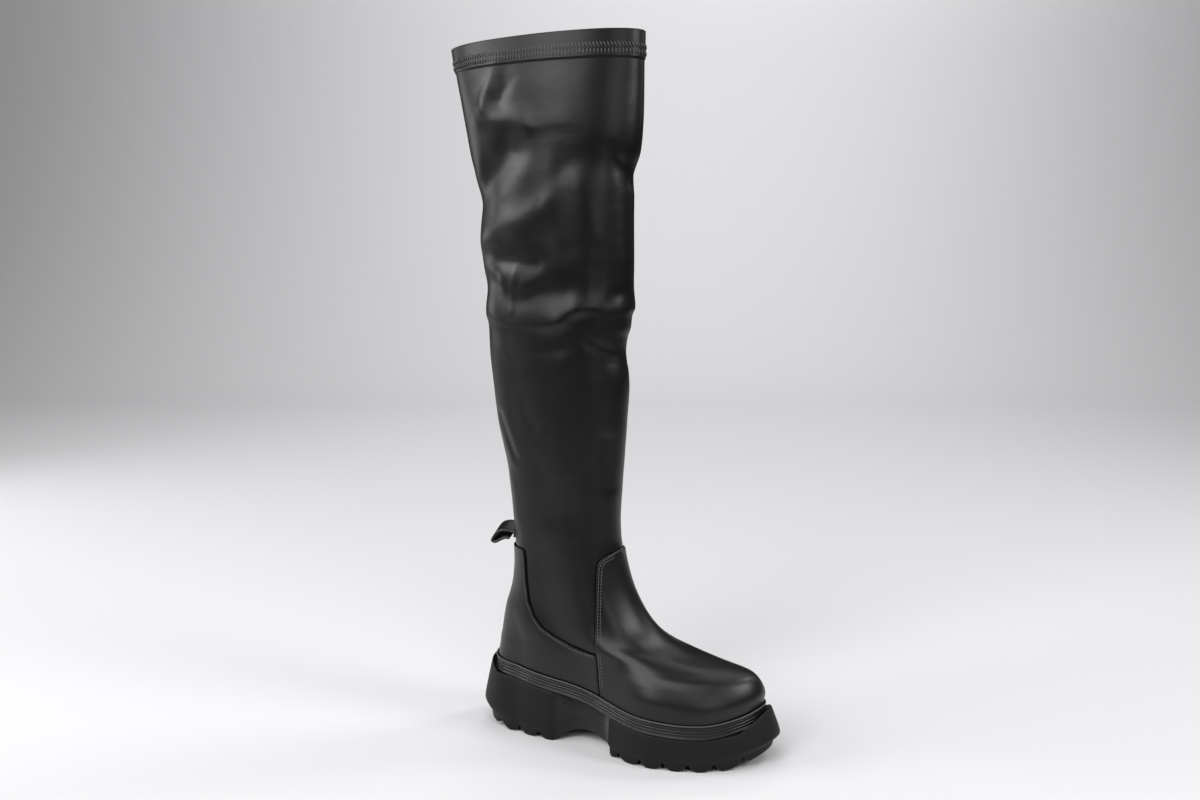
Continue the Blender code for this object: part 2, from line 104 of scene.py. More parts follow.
# Columns: share of the ring from back to front, sideways shift of the ring's middle as share of
# the half ball width, towards the inner side of the foot.
SWING = np.array(((0, 0), (0.15, 0.0), (0.40, -0.06), (0.70, -0.10), (0.87, 0.00), (1, 0.16)))
SWING_ROWS = 9
SWING_POWER = 1.2
# Columns: share along the last, height of the featherline as share of the heel's lift.
FEATHER = np.array((
    (0, 1.0), (0.15, 0.946), (0.30, 0.868), (0.45, 0.768), (0.55, 0.704), (0.65, 0.654),
    (0.75, 0.622), (0.85, 0.616), (0.95, 0.668), (1, 0.725),
))
FADE_ROWS = 5
FADE_POWER = 1.5

# Wall of the sole at the sides, the toe and the heel: how far its lip, its widest line and its
# foot stand out from the featherline, and the height of the widest line.
EDGE_SIDE = np.array((4.4, 5.6, 3.0, 13)) * MM
EDGE_TOE = np.array((9, 17, 10.5, 22.5)) * MM
EDGE_HEEL = np.array((7.5, 16.5, 9.5, 24)) * MM
# Columns: place along X, height of the underside above the floor.
UNDERSIDE = np.array((
    (-60, 14), (-52, 12), (-45, 9), (-33, 5), (-22, 2.2), (-12, 0.4), (-4, 0), (34, 0), (42, 5),
    (52, 8.5), (62, 9.5), (72, 8), (80, 5), (88, 2.8), (95.5, 1.7), (96.5, 0), (190, 0), (203, 1.8),
    (214, 6), (224, 10.5), (236, 17),
)) * MM
# Middles of the notches along the edge, from the back of the heel and from the tread's start.
HEEL_NOTCHES = np.array((14, 38.5, 58.5, 81)) * MM
TREAD_NOTCHES = np.array((7.5, 31, 52.5, 74.5, 97.5, 123)) * MM
# Bent bars of the tread. Columns: place along X, place along Y, half width.
CHEVRONS = np.array((
    (-9, 0, 12), (11, 0, 12), (112, -4, 19), (132, -4, 22), (152, -3, 22), (172, -1, 19),
)) * MM
CHEVRON_DEPTH = 9 * MM

# Edges of the panels seen from the side. Columns: height, place along X.
VAMP_EDGE = np.array((
    (20, 83), (54, 82), (68, 80.5), (88, 78.5), (105, 76), (130, 74.5), (150, 73.2), (158, 73),
    (163, 73.2), (167, 74.2), (170, 76.4), (172.3, 80), (174, 84), (175.8, 89.5), (177.5, 95),
)) * MM
COUNTER_EDGE = np.array((
    (20, 82.4), (54, 81.4), (68, 79.9), (86.4, 77.9), (87, 66), (90, 51), (95.5, 36), (102.5, 23),
    (112, 14.5), (124, 9), (143, 6), (163, 4.5), (170.6, 3.7), (174.2, -3), (176.2, -12),
    (177, -30),
)) * MM

# Folds of the shaft. Columns: start x, start z, end x, end z, height of the ridge (minus for a
# trough), width on its upper or rear side, width on its lower or front side, all in millimetres.
OUTER_FOLDS = (
    # shelf over the knee, its lower side steeper
    (-38, 381, 44, 378, 1.9, 14, 6.5),
    (44, 378, 62, 387, 1.8, 13, 6.5),
    (62, 387, 92, 391, 1.5, 10, 6.5),
    (-38, 408, 50, 404, -1.9, 14, 11),
    (74, 440, 76, 402, -0.7, 6.0, 6.0),
    # pillow over the shelf and the hollow above it
    (-12, 412, 10, 411, 2.1, 9, 8),
    (-34, 434, 22, 431, -2.6, 10, 8),
    (1, 424, 0, 388, 0.9, 3.0, 3.0),
    (-36, 414, -20, 405, -0.9, 7, 7),
    # bulge of the thigh and the slanting hollow over it
    (30, 478, -36, 446, 2.4, 15, 11),
    (-8, 526, -42, 484, -5.0, 18, 15),
    (-40, 551, 10, 549, 1.2, 12, 6),
    (10, 549, 50, 546, 0.6, 14, 7),
    # folds under the hem at the rear
    (-19, 596, -30, 562, 2.0, 8, 7),
    (-8, 592, -14, 568, -1.8, 9, 9),
    (2, 588, -22, 560, -0.5, 3.4, 3.4),
    # arch of troughs towards the front
    (48, 514, 84, 520, -1.5, 14, 13),
    (46, 502, 52, 440, -1.0, 11, 10),
    (66, 488, 73, 436, 1.0, 12, 11),
    (97, 500, 86, 524, -1.0, 6, 5),
    (92, 404, 84, 394, -0.8, 5, 5),
    (91, 366, 83, 344, -1.0, 7, 6),
    (84, 352, 68, 362, -0.8, 7, 6),
    # soft dents of the calf
    (10, 358, 44, 354, -0.8, 10, 9),
    (46, 344, 60, 352, 0.6, 7, 6),
    (-12, 352, 4, 338, 0.7, 9, 9),
    (8, 306, 22, 288, -0.9, 5, 5),
    (-22, 292, -6, 258, -1.4, 5, 3.5),
    (80, 276, 78, 232, -1.0, 6, 4),
    (-14, 236, -2, 196, 1.0, 6, 9),
    (36, 300, 40, 246, 0.7, 14, 14),
    (20, 250, 34, 205, -0.7, 9, 9),
)
INNER_FOLDS = (
    (-36, 388, 40, 380, 3.4, 17, 3.8),
    (40, 380, 92, 392, 2.6, 13, 4.0),
    (-30, 432, 30, 426, -2.2, 10, 9),
    (-20, 412, 24, 408, 2.0, 13, 5),
    (-10, 500, 50, 470, 1.8, 18, 14),
    (-36, 548, 40, 556, 1.2, 12, 4),
    (97, 497, 88, 522, -1.3, 5, 3.5),
    (91, 366, 82, 344, -1.5, 6, 4.5),
    (10, 350, 60, 340, -1.2, 8, 7),
    (-16, 300, 20, 280, 0.9, 9, 9),
    (40, 270, 50, 220, 0.8, 10, 10),
    (-22, 292, -6, 258, -1.2, 5, 3.5),
)
# Slow waves over the whole shaft: waves round, waves up its height, phase, height in millimetres.
SHAFT_WAVES = (
    (2, 5.5, 0.4, 0.35), (3, -8.0, 1.9, 0.25), (5, 9.0, 4.1, 0.16), (4, 14.0, 2.6, 0.12),
)
COLLAR_HEIGHT = HEEL_LIFT + INSTEP_RISE + SHAFT_RISE
FOLDS_START = 178 * MM     # folds grow from here upwards
FOLDS_FADE = 25 * MM
HEM_CALM = 24 * MM         # below the collar, where the folds have died down
HEM_FADE = 22 * MM
HEM_SHARE = 0.25           # share of the folds that is left at the hem

# Softening of the rings where the instep meets the toe: rows it starts and ends at, rows it grows
# and fades over, and the nearby rows that are averaged, as step and share.
EASE_START, EASE_GROW = 1.6, 1.6
EASE_END, EASE_FADE = 7.5, 2.5
EASE_REACH = 0.9
EASE_STEPS = ((-1, 0.14), (-0.5, 0.22), (0, 0.28), (0.5, 0.22), (1, 0.14))

# Fullness either side of the instep: height, middle and spread in rows, middle and spreads round.
FILL_HEIGHT = 3.2 * MM
FILL_ROW, FILL_ROWS = 4.3, 1.15
FILL_TURN, FILL_BEHIND, FILL_AHEAD = 2.15, 0.33, 0.5

# Panels and their seams
PANEL_ROLL = 0.9 * MM       # radius of the rolled edge
PANEL_EDGE_SHARE = 0.35     # share of the leather's thickness at the very edge
GROOVE_DEPTH = 0.28 * MM
GROOVE_HALF = 0.55 * MM
VAMP_SEAMS = (2.2 * MM, 4.6 * MM)
COUNTER_GROOVE = 2.0 * MM
COUNTER_SEAM = 1.9 * MM
VAMP_TOP_ROW = 9.36
COUNTER_TOP_ROW = 9.42
VAMP_SEAM_LOW, VAMP_SEAM_FRONT = 58 * MM, 96 * MM
COUNTER_SEAM_LOW, COUNTER_SEAM_BACK = 84 * MM, -14 * MM
STITCH_PITCH, STITCH_GAP, STITCH_THICK = 2.7 * MM, 0.22, 0.75 * MM
STITCH_SUNK = 0.12 * MM
# Dark matte dashes just outside the panels' edges: a painted shadow line where each edge shades the
# upper.
SHADOW_LINE_PITCH, SHADOW_LINE_GAP, SHADOW_LINE_THICK = 1.5 * MM, -0.1, 1.0 * MM
SHADOW_LINE_OUT = 0.5 * MM

# Cover stitch of the hem. Rows: start and end below the collar in millimetres, lean in pitches.
HEM_STITCH_ROWS = ((9.8, 13.8, 0.35), (14.3, 18.3, 0.0))
HEM_PITCH = 3.0 * MM
HEM_THREAD = 1.15 * MM
HEM_THREAD_OUT = 0.05 * MM
HEM_EDGE = 1.2 * MM         # height over which the hem steps out
RIM_RISE = 0.9 * MM         # height of the collar's rolled rim
LINING_SHARE = 0.9          # share of the folds that shows on the inside


# Shape functions


def read(knots, values, at):
    """Monotone cubic through the values at the knots, read at each place of at."""
    knots, values, at = (np.asarray(a, float) for a in (knots, values, at))
    step = np.diff(knots)
    rise = np.diff(values) / step
    slope = np.empty_like(values)
    slope[0], slope[-1] = rise[0], rise[-1]
    product = rise[:-1] * rise[1:]
    weight = 3 * (step[:-1] + step[1:])
    left = (2 * step[1:] + step[:-1]) / np.where(rise[:-1] == 0, 1, rise[:-1])
    right = (step[1:] + 2 * step[:-1]) / np.where(rise[1:] == 0, 1, rise[1:])
    total = np.where(product > 0, left + right, 1)
    slope[1:-1] = np.where(product > 0, weight / total, 0)
    at = np.clip(at, knots[0], knots[-1])
    i = np.clip(np.searchsorted(knots, at, side="right") - 1, 0, len(step) - 1)
    t = (at - knots[i]) / step[i]
    h = step[i]
    return (
        values[i] * (1 + 2 * t) * (1 - t) ** 2 + slope[i] * h * t * (1 - t) ** 2
        + values[i + 1] * t * t * (3 - 2 * t) + slope[i + 1] * h * t * t * (t - 1)
    )


def ramp(x):
    """Smooth rise from 0 to 1 while x goes from 0 to 1."""
    x = np.clip(x, 0, 1)
    return x * x * (3 - 2 * x)


def climb(rise):
    """Height above the floor of a rise counted in insteps, then in shafts."""
    return HEEL_LIFT + INSTEP_RISE * np.minimum(rise, 1) + SHAFT_RISE * np.maximum(rise - 1, 0)


def feather_height(x):
    """Height of the featherline at a place along X."""
    return HEEL_LIFT * read(FEATHER[:, 0], FEATHER[:, 1], (x + HEEL_BEHIND) / LAST_LENGTH)


def ring_surface(row, turn):
    """Points of the upper: its rings averaged over nearby rows where the instep meets the toe."""
    row, turn = np.broadcast_arrays(np.asarray(row, float), np.asarray(turn, float))
    reach = EASE_REACH * ramp((row - EASE_START) / EASE_GROW) * ramp((EASE_END - row) / EASE_FADE)
    return sum(share * plain_ring(row + step * reach, turn) for step, share in EASE_STEPS)


def plain_ring(row, turn):
    """Ellipses between the back line and the front line, row by row."""
    row, turn = np.broadcast_arrays(np.asarray(row, float), np.asarray(turn, float))
    rows = np.arange(len(RING_ROWS))
    column = [read(rows, c, row) for c in RING_ROWS.T]
    share = (1 - np.cos(turn)) / 2
    back_x = column[0] * LAST_LENGTH - HEEL_BEHIND
    front_x = column[2] * LAST_LENGTH - HEEL_BEHIND
    back_z, front_z = climb(column[1]), climb(column[3])
    x = back_x + (front_x - back_x) * share
    z = back_z + (front_z - back_z) * share
    first = RING_ROWS[0]
    chord = climb(first[1]) + (climb(first[3]) - climb(first[1])) * share
    base_x = (first[0] + (first[2] - first[0]) * share) * LAST_LENGTH - HEEL_BEHIND
    fade = np.clip(1 - row / FADE_ROWS, 0, 1) ** FADE_POWER
    z = z + (feather_height(base_x) - chord) * fade
    half = np.zeros_like(x)
    stack = np.stack(column[4:], axis=-1)
    for i in range(len(PLACES) - 1):
        inside = (share >= PLACES[i]) & (share <= PLACES[i + 1])
        t = ramp((share - PLACES[i]) / (PLACES[i + 1] - PLACES[i]))
        half = np.where(inside, stack[..., i] + (stack[..., i + 1] - stack[..., i]) * t, half)
    calm = np.clip(1 - row / SWING_ROWS, 0, 1) ** SWING_POWER
    middle = read(SWING[:, 0], SWING[:, 1], share) * HALF_BALL * calm
    y = middle - half * HALF_BALL * np.sin(turn)
    return np.stack((x, y, z), axis=-1)


def upper_normal(row, turn):
    """Outward unit normals of the upper, level at the featherline."""
    small = 1e-3
    last = len(RING_ROWS) - 1
    high = ring_surface(np.clip(row + small, 0, last), turn)
    low = ring_surface(np.clip(row - small, 0, last), turn)
    along = ring_surface(row, turn + small) - ring_surface(row, turn - small)
    normal = np.cross(along, high - low)
    normal[..., 2] *= ramp(np.asarray(row) / 1.5)
    return normal / np.linalg.norm(normal, axis=-1, keepdims=True)


def upper_surface(row, turn, out=0.0):
    """Points of the upper moved outwards by out; at the featherline they move level."""
    out = np.asarray(out, float)
    return ring_surface(row, turn) + upper_normal(row, turn) * out[..., None]


def outline(turn, out):
    """Plan of the featherline moved outwards by out: x, y and the x that sets its height."""
    small = 1e-4
    here = ring_surface(0, turn)
    along = ring_surface(0, turn + small) - ring_surface(0, turn - small)
    length = np.hypot(along[..., 0], along[..., 1])
    x = here[..., 0] + along[..., 1] / length * out
    y = here[..., 1] - along[..., 0] / length * out
    return x, y, np.where(np.asarray(out) > 0, here[..., 0], x)


def wander(x, z):
    """Places swayed by a few millimetres, so that the folds don't run straight."""
    u, v = x / MM, z / MM
    return (x + MM * (2.4 * np.sin(v / 15 + 1.0) + 1.0 * np.sin(u / 7 + v / 9)),
            z + MM * (2.2 * np.sin(u / 14 + 0.6) + 0.9 * np.sin(v / 10 - u / 8)))


def fold_height(x, z, folds):
    """Sum of soft ridges and troughs along wandering runs, each with a width for either side."""
    x, z = wander(x, z)
    total = np.zeros_like(x)
    for ax, az, bx, bz, height, above, below in folds:
        run = np.array((bx - ax, bz - az), float) * MM
        length = math.hypot(*run)
        unit = run / length
        dx, dz = x - ax * MM, z - az * MM
        along = dx * unit[0] + dz * unit[1]
        across = dz * unit[0] - dx * unit[1]
        past = np.maximum(np.maximum(-along, along - length), 0)
        width = np.where(across > 0, above, below) * MM
        reach = (above + below) / 2 * MM
        total += height * MM * np.exp(-((across / width) ** 2) - (past / reach) ** 2)
    return total


def shaft_relief(point, turn):
    """How far the stretch cover stands out: folds of either side and slow waves."""
    x, z = point[..., 0], point[..., 2]
    outer = ramp(0.5 + 1.2 * np.sin(turn))
    relief = outer * fold_height(x, z, OUTER_FOLDS) + (1 - outer) * fold_height(x, z, INNER_FOLDS)
    up = z / COLLAR_HEIGHT
    for around, tall, phase, height in SHAFT_WAVES:
        relief += height * MM * np.sin(around * turn + tall * up * math.pi + phase)
    at_hem = HEM_SHARE + (1 - HEM_SHARE) * ramp((COLLAR_HEIGHT - HEM_CALM - z) / HEM_FADE)
    return relief * ramp((z - FOLDS_START) / FOLDS_FADE) * at_hem


def foot_fill(row, turn):
    """Soft fullness of the leather either side of the instep, a hump over rows and turns."""
    around = np.minimum(turn, TAU - turn)
    width = np.where(around < FILL_TURN, FILL_BEHIND, FILL_AHEAD)
    return FILL_HEIGHT * np.exp(-((row - FILL_ROW) / FILL_ROWS) ** 2
                                - ((around - FILL_TURN) / width) ** 2)


# Mesh and material helpers


def grid_piece(name, grid, material, around=True, caps=False, loop=False, flip=False):
    """Mesh through a grid of points, closed round its second way when around is set.

    With caps, the first and the last row are closed by faces between their two sides; with loop,
    the last row is joined to the first.
    """
    count, across = grid.shape[:2]
    faces = grid_faces(count, across, around)
    tris = []
    if loop:
        j = np.arange(across)
        k = (j + 1) % across
        last = (count - 1) * across
        faces = np.concatenate((faces, np.stack((last + j, last + k, k, j), -1)))
    if caps:
        half = across // 2
        base = (count - 1) * across
        a = np.arange(1, half - 1)
        low = np.stack((a, across - a, across - a - 1, a + 1), -1)
        faces = np.concatenate((faces, low, low[:, ::-1] + base))
        tris = [(0, across - 1, 1), (half - 1, half + 1, half),
                (base, base + 1, base + across - 1),
                (base + half - 1, base + half, base + half + 1)]
    if flip:
        faces = faces[:, ::-1]
        tris = [t[::-1] for t in tris]
    mesh = bpy.data.meshes.new(name)
    mesh.from_pydata(grid.reshape(-1, 3), [], faces.tolist() + [list(t) for t in tris])
    return finish_piece(name, mesh, material)


def grid_faces(count, across, around=True):
    """Corner numbers of the four-sided faces between the rows of a grid."""
    i, j = np.meshgrid(np.arange(count - 1), np.arange(across if around else across - 1),
                       indexing="ij")
    k = (j + 1) % across
    low, high = i * across, (i + 1) * across
    return np.stack((low + j, low + k, high + k, high + j), -1).reshape(-1, 4)


def finish_piece(name, mesh, material):
    """Links a smooth-shaded mesh into the scene as a piece."""
    mesh.update()
    mesh.shade_smooth()
    mesh.materials.append(material)
    thing = bpy.data.objects.new(name, mesh)
    bpy.context.scene.collection.objects.link(thing)
    return thing


def paint_mask(piece, name, values):
    """Stores a value for each point of a piece, for its material to read."""
    mask = piece.data.attributes.new(name, "FLOAT", "POINT")
    mask.data.foreach_set("value", values.astype(np.float32))


def linear(code):
    """sRGB hex colour as linear RGBA."""
    parts = [int(code[i:i + 2], 16) / 255 for i in (1, 3, 5)]
    return (*((c / 12.92 if c <= 0.04045 else ((c + 0.055) / 1.055) ** 2.4) for c in parts), 1.0)


def node(tree, kind, links=(), **settings):
    """Adds a node, sets its properties and sockets, and links (socket, from node, from socket)."""
    n = tree.nodes.new(kind)
    for key, value in settings.items():
        if key.startswith("in_"):
            n.inputs[key[3:].replace("_", " ")].default_value = value
        else:
            setattr(n, key, value)
    for socket, source, output in links:
        tree.links.new(source.outputs[output], n.inputs[socket])
    return n


def surface(name, colour, roughness, sheen=0.0, ior=1.5):
    """Principled material with its tree, shader and object coordinates."""
    m = bpy.data.materials.new(name)
    m.use_nodes = True
    tree = m.node_tree
    shader = tree.nodes["Principled BSDF"]
    shader.inputs["Base Color"].default_value = linear(colour)
    shader.inputs["Roughness"].default_value = roughness
    shader.inputs["IOR"].default_value = ior
    shader.inputs["Sheen Weight"].default_value = sheen
    where = node(tree, "ShaderNodeTexCoord")
    return m, tree, shader, where


def leather(name, colour, roughness, grain_mm, depth_mm, ior, lie=1.0, pull_mm=0.6):
    """Leather: fine pebbled grain, soft pull wrinkles, longer sideways by lie, and uneven gloss."""
    m, tree, shader, where = surface(name, colour, roughness, ior=ior)
    grain = node(tree, "ShaderNodeTexVoronoi", [("Vector", where, "Object")],
                 feature="SMOOTH_F1", in_Scale=1000 / grain_mm, in_Smoothness=0.6)
    laid = node(tree, "ShaderNodeMapping", [("Vector", where, "Object")], in_Scale=(1, 1, lie))
    pull = node(tree, "ShaderNodeTexNoise", [("Vector", laid, "Vector")],
                in_Scale=45.0, in_Detail=3.0, in_Roughness=0.55)
    bump = node(tree, "ShaderNodeBump", [("Height", grain, "Distance")],
                in_Strength=0.35, in_Distance=depth_mm * MM)
    soft = node(tree, "ShaderNodeBump", [("Height", pull, "Fac"), ("Normal", bump, "Normal")],
                in_Strength=0.25, in_Distance=pull_mm * MM)
    tree.links.new(soft.outputs["Normal"], shader.inputs["Normal"])
    gloss = node(tree, "ShaderNodeTexNoise", [("Vector", where, "Object")],
                 in_Scale=18.0, in_Detail=4.0)
    spread = node(tree, "ShaderNodeMapRange", [("Value", gloss, "Fac")])
    spread.inputs["To Min"].default_value = roughness - 0.05
    spread.inputs["To Max"].default_value = roughness + 0.07
    tree.links.new(spread.outputs["Result"], shader.inputs["Roughness"])
    return m


def rubber(name, colour, roughness, ior, grain_mm=0.5, depth_mm=0.05):
    """Moulded rubber with a fine matte grain; also hands out its tree for more nodes."""
    m, tree, shader, where = surface(name, colour, roughness, ior=ior)
    grain = node(tree, "ShaderNodeTexNoise", [("Vector", where, "Object")],
                 in_Scale=1000 / grain_mm, in_Detail=2.0)
    bump = node(tree, "ShaderNodeBump", [("Height", grain, "Fac")],
                in_Strength=0.3, in_Distance=depth_mm * MM)
    tree.links.new(bump.outputs["Normal"], shader.inputs["Normal"])
    return m, tree, shader, where, bump


# The rand's paler colour is a painted highlight on its bead and its lower ridge.
RAND_COLOUR, RAND_HIGHLIGHT_COLOUR = "#101011", "#4E4E50"
# The cove's pale colour is painted light: the reflection of the left lamps and the floor on that
# face.
SOLE_COLOUR, WAIST_COLOUR, COVE_LIGHT_COLOUR = "#0B0B0C", "#29292A", "#5E5E60"

stretch_cover = leather("black_stretch_faux_leather", "#09090A", 0.38, grain_mm=0.9, depth_mm=0.05,
                        ior=1.41, lie=2.4, pull_mm=0.8)
smooth_leather = leather("black_smooth_leather", "#080808", 0.38, grain_mm=0.7, depth_mm=0.03,
                         ior=1.47)
# The topstitching thread is mid grey: partly its own colour, partly a painted highlight of the
# light line along the seams.
thread = surface("black_polyester_thread_painted_highlight", "#5A5A5D", 0.55)[0]
# Near-black matte stuff for the painted shadow line beside the panels.
edge_shadow_paint = surface("painted_edge_shadow", "#030303", 0.9, ior=1.2)[0]
hem_thread = surface("black_wooly_thread", "#4A4A4D", 0.60)[0]
lining = surface("black_knit_lining", "#1B1B1C", 0.85, sheen=0.3)[0]
rand_rubber, rand_tree, rand_shader, _, _ = rubber("black_satin_rubber", RAND_COLOUR, 0.38, 1.42)
sole_rubber, sole_tree, sole_shader, sole_where, sole_bump = rubber(
    "black_matte_rubber", SOLE_COLOUR, 0.60, 1.36)


# Sockets of a colour mix
MIX_A, MIX_B = 6, 7
# Waves of the waist: distance between them, height and lean to either side
WEAVE_PITCH = 1.9 * MM
WEAVE_HEIGHT = 0.4 * MM
WEAVE_LEAN = math.radians(52)


def painted_rand_highlight():
    """Painted highlight: paler rubber along the bead and the lower ridge of the rand, read from its
    own mask.
    """
    mask = node(rand_tree, "ShaderNodeAttribute", attribute_name="edge")
    tone = node(rand_tree, "ShaderNodeMix", [("Factor", mask, "Fac")], data_type="RGBA")
    tone.inputs[MIX_A].default_value = linear(RAND_COLOUR)
    tone.inputs[MIX_B].default_value = linear(RAND_HIGHLIGHT_COLOUR)
    rand_tree.links.new(tone.outputs[2], rand_shader.inputs["Base Color"])


def waist_weave():
    """Crossed slanting waves on the paler waist, and the cove coloured pale as painted light, read
    from the sole's masks.
    """
    tree = sole_tree
    mask = node(tree, "ShaderNodeAttribute", attribute_name="waist")
    height = sole_bump
    for lean in (1, -1):
        turned = node(tree, "ShaderNodeMapping", [("Vector", sole_where, "Object")])
        turned.inputs["Rotation"].default_value = (0, lean * WEAVE_LEAN, 0)
        wave = node(tree, "ShaderNodeTexWave", [("Vector", turned, "Vector")],
                    in_Scale=1 / WEAVE_PITCH / TAU, in_Distortion=0.0)
        masked = node(tree, "ShaderNodeMath", [(0, wave, "Fac"), (1, mask, "Fac")],
                      operation="MULTIPLY")
        height = node(tree, "ShaderNodeBump",
                      [("Height", masked, "Value"), ("Normal", height, "Normal")],
                      in_Strength=0.6, in_Distance=WEAVE_HEIGHT)
    tree.links.new(height.outputs["Normal"], sole_shader.inputs["Normal"])
    # Painted light: the cove's face turns pale along its mask.
    cove = node(tree, "ShaderNodeAttribute", attribute_name="cove")
    tone = node(tree, "ShaderNodeMix", [("Factor", mask, "Fac")], data_type="RGBA")
    tone.inputs[MIX_A].default_value = linear(SOLE_COLOUR)
    tone.inputs[MIX_B].default_value = linear(WAIST_COLOUR)
    face = node(tree, "ShaderNodeMix", [("Factor", cove, "Fac")], data_type="RGBA")
    tree.links.new(tone.outputs[2], face.inputs[MIX_A])
    face.inputs[MIX_B].default_value = linear(COVE_LIGHT_COLOUR)
    tree.links.new(face.outputs[2], sole_shader.inputs["Base Color"])


waist_weave()
painted_rand_highlight()


# Upper


def upper_cover():
    """Hollow stretch upper: outer skin with folds and the proud hem, rolled rim, inner skin."""
    around = 200
    hem = TOP_ROW - HEM_HEIGHT / TOP_ROW_HEIGHT
    rows = np.concatenate((np.linspace(0, 9, 50), np.linspace(9, hem - 0.06, 230)[1:],
                           np.linspace(hem - 0.05, TOP_ROW, 44)))
    turns = np.arange(around) * (TAU / around)
    row, turn = rows[:, None], turns[None, :]
    base = ring_surface(row, turn)
    step = HEM_STEP * ramp((rows - hem) * TOP_ROW_HEIGHT / HEM_EDGE + 1)
    out = shaft_relief(base, turn) + foot_fill(row, turn) + step[:, None]
    skin = base + upper_normal(row, turn) * out[..., None]
    rise = np.array((0, 0, RIM_RISE))
    half_wall = (UPPER_WALL + HEM_STEP) / 2
    rim = []
    for angle in (30, 60, 90, 120, 150):
        a = math.radians(angle)
        rim.append(upper_surface(TOP_ROW, turns, HEM_STEP - half_wall * (1 - math.cos(a)))
                   + rise * (math.sin(a) - 1))
    skin[-1] = upper_surface(TOP_ROW, turns, HEM_STEP) - rise
    inner_rows = np.concatenate((np.linspace(TOP_ROW, hem, 6), np.linspace(hem, 0, 70)[1:]))
    inner_row = inner_rows[:, None]
    inner_base = ring_surface(inner_row, turn)
    inner_out = (shaft_relief(inner_base, turn) * LINING_SHARE + foot_fill(inner_row, turn)
                 - UPPER_WALL)
    inner = inner_base + upper_normal(inner_row, turn) * inner_out[..., None]
    inner[0] -= rise
    grid = np.concatenate((skin, np.array(rim), inner))
    piece = grid_piece("stretch_upper", grid, stretch_cover, loop=True)
    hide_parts("upper")
    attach(piece, "root")


def edge_turns(rows, edge):
    """For each row, the turn from the back at which the ring crosses the panel's edge."""
    fine = np.linspace(0, math.pi, 3000)
    points = ring_surface(rows[:, None], fine[None, :])
    past = points[..., 0] - np.interp(points[..., 2], edge[:, 0], edge[:, 1])
    first = np.argmax(past >= 0, axis=1)
    first = np.where((past >= 0).any(axis=1), first, len(fine) - 1)
    first = np.clip(first, 1, len(fine) - 1)
    rows_at = np.arange(len(rows))
    a, b = past[rows_at, first - 1], past[rows_at, first]
    part = np.clip(a / np.where(a == b, 1, a - b), 0, 1)
    return fine[first - 1] + part * (fine[first] - fine[first - 1])


def panel(name, edge, rows, front, columns, seams):
    """Leather panel over the upper, its edge rolled and a groove along each seam, and its turns."""
    turn_at = edge_turns(rows, edge)
    centre = math.pi if front else 0.0
    reach = np.abs(centre - turn_at)
    s = np.linspace(-1, 1, columns)
    s = np.sign(s) * (1 - (1 - np.abs(s)) ** 1.25)
    turn = centre + reach[:, None] * s[None, :]
    row = rows[:, None] + 0 * turn
    points = ring_surface(row, turn)
    span = np.linalg.norm(np.diff(points, axis=1), axis=-1)
    length = np.concatenate((np.zeros((len(rows), 1)), np.cumsum(span, axis=1)), axis=1)
    side = np.minimum(length, length[:, -1:] - length)
    roll = np.sqrt(np.clip(1 - (1 - np.clip(side / PANEL_ROLL, 0, 1)) ** 2, 0, 1))
    out = PANEL_GAP + LEATHER * (PANEL_EDGE_SHARE + (1 - PANEL_EDGE_SHARE) * roll)
    for at in seams:
        out = out - GROOVE_DEPTH * np.exp(-((side - at) / GROOVE_HALF) ** 2)
    normal = upper_normal(row, turn)
    fill = foot_fill(row, turn)
    outer = points + normal * (out + fill)[..., None]
    inner = points + normal * (PANEL_GAP * 0.4 + fill)[..., None]
    sheet = np.concatenate((outer, inner[:, ::-1]), axis=1)
    piece = grid_piece(name, sheet, smooth_leather)
    return piece, turn_at


def beside_edge(rows, turn_at, shift, out):
    """Line set off square to a panel's edge, forwards or down: points and normals, both sides."""
    paths = []
    for side, at in ((1, turn_at), (-1, -turn_at)):
        points, normals = upper_surface(rows, at, out + 0 * rows), upper_normal(rows, at)
        run = np.gradient(points, axis=0)
        run /= np.maximum(np.linalg.norm(run, axis=1, keepdims=True), 1e-9)
        paths.append((points + side * shift * np.cross(run, normals), normals))
    return paths


def stitch_mesh(name, starts, ends, normals, thick, material):
    """Short round-ended stitches from starts to ends, sunk by half their thickness."""
    around, along = 6, 5
    t = np.linspace(0, 1, along)
    radius = thick / 2 * np.array((0.35, 0.85, 1.0, 0.85, 0.35))
    a = np.arange(around) * (TAU / around)
    run = ends - starts
    unit = run / np.linalg.norm(run, axis=1, keepdims=True)
    side = np.cross(unit, normals)
    side /= np.linalg.norm(side, axis=1, keepdims=True)
    up = np.cross(side, unit)
    arch = thick * 0.35 * np.sin(math.pi * t)
    centre = starts[:, None] + run[:, None] * t[None, :, None] + up[:, None] * arch[None, :, None]
    cos, sin = (wave(a)[None, None, :, None] for wave in (np.cos, np.sin))
    ring = side[:, None, None] * cos + up[:, None, None] * sin
    points = centre[:, :, None] + ring * radius[None, :, None, None]
    first = np.arange(len(starts)) * (along * around)
    faces = (first[:, None, None] + grid_faces(along, around)[None]).reshape(-1, 4)
    near_ends = first[:, None] + np.arange(around)[::-1]
    far_ends = first[:, None] + (along - 1) * around + np.arange(around)
    mesh = bpy.data.meshes.new(name)
    mesh.from_pydata(points.reshape(-1, 3), [],
                     faces.tolist() + near_ends.tolist() + far_ends.tolist())
    return finish_piece(name, mesh, material)


